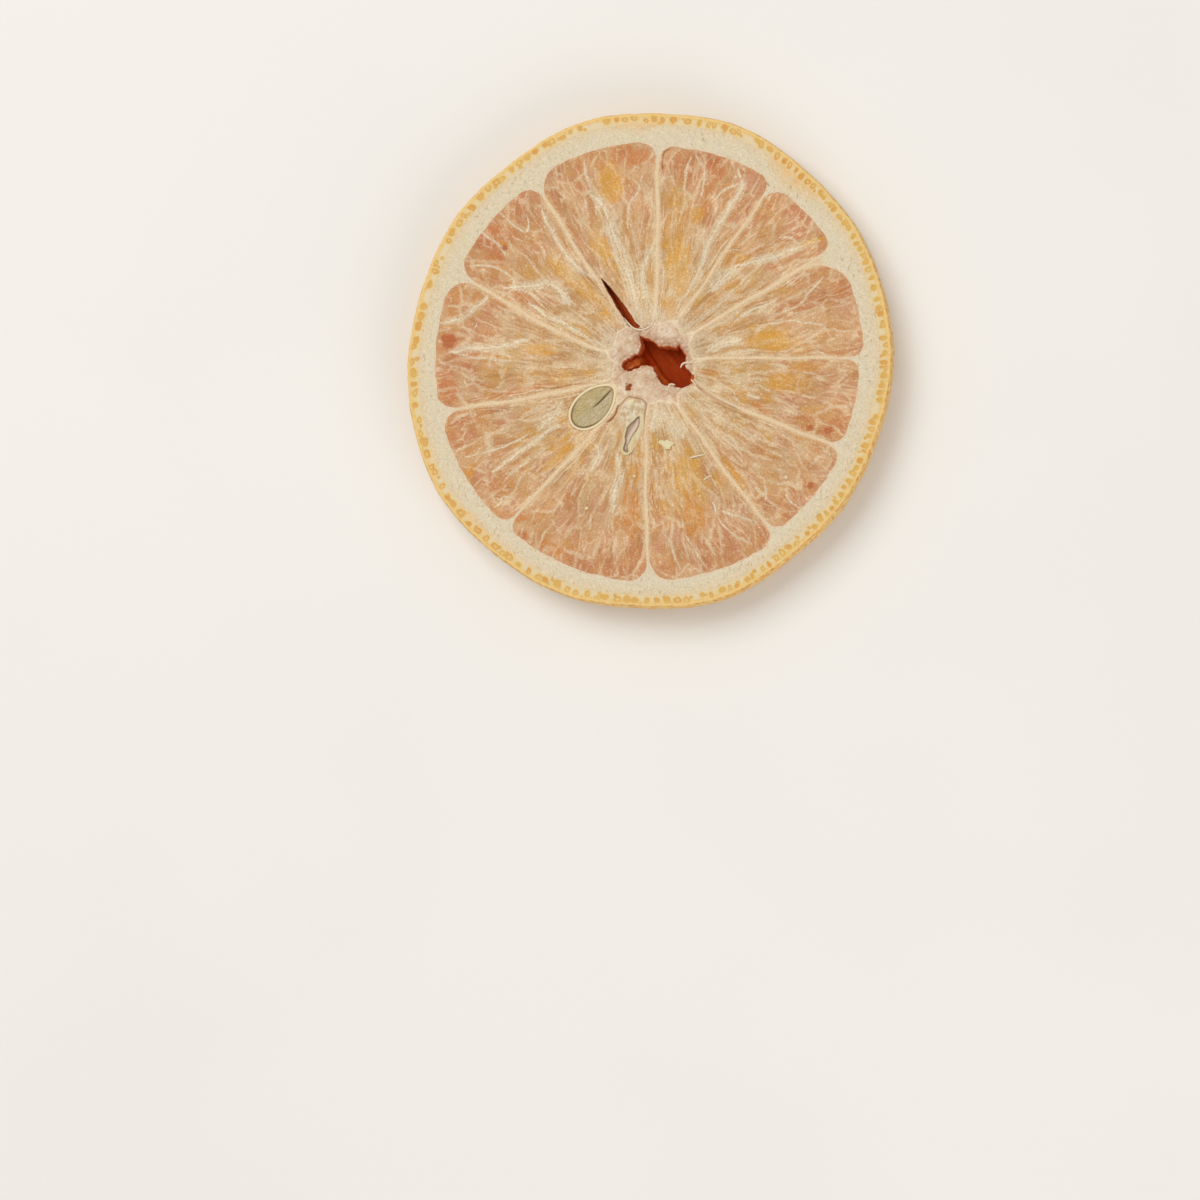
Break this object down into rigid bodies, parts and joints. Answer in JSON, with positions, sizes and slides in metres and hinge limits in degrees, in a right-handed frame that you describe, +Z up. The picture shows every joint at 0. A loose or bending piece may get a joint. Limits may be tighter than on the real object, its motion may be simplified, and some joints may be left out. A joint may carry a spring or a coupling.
{
  "type": "dried lemon slice",
  "caption": "Round cross-cut slice of dried lemon: thin skin, pale pith ring, sunken pulp segments between fine membranes, an open core and cut seeds.",
  "frame": {"origin": "middle of the outline's bounding box, on the lower face", "axes": "+Z up through the better cut face; +X and +Y lie in the face, with the seeds towards -X and -Y"},
  "size_m": [0.0583, 0.0591, 0.0055],
  "materials": {
    "pulp": "dry, matte, fibrous",
    "pith_and_skin": "dry, matte, spongy, with a pitted yellow skin",
    "seed": "smooth, matte"
  },
  "bodies": {
    "root": {"lemon_slice": "pulp"}
  },
  "joints": []
}
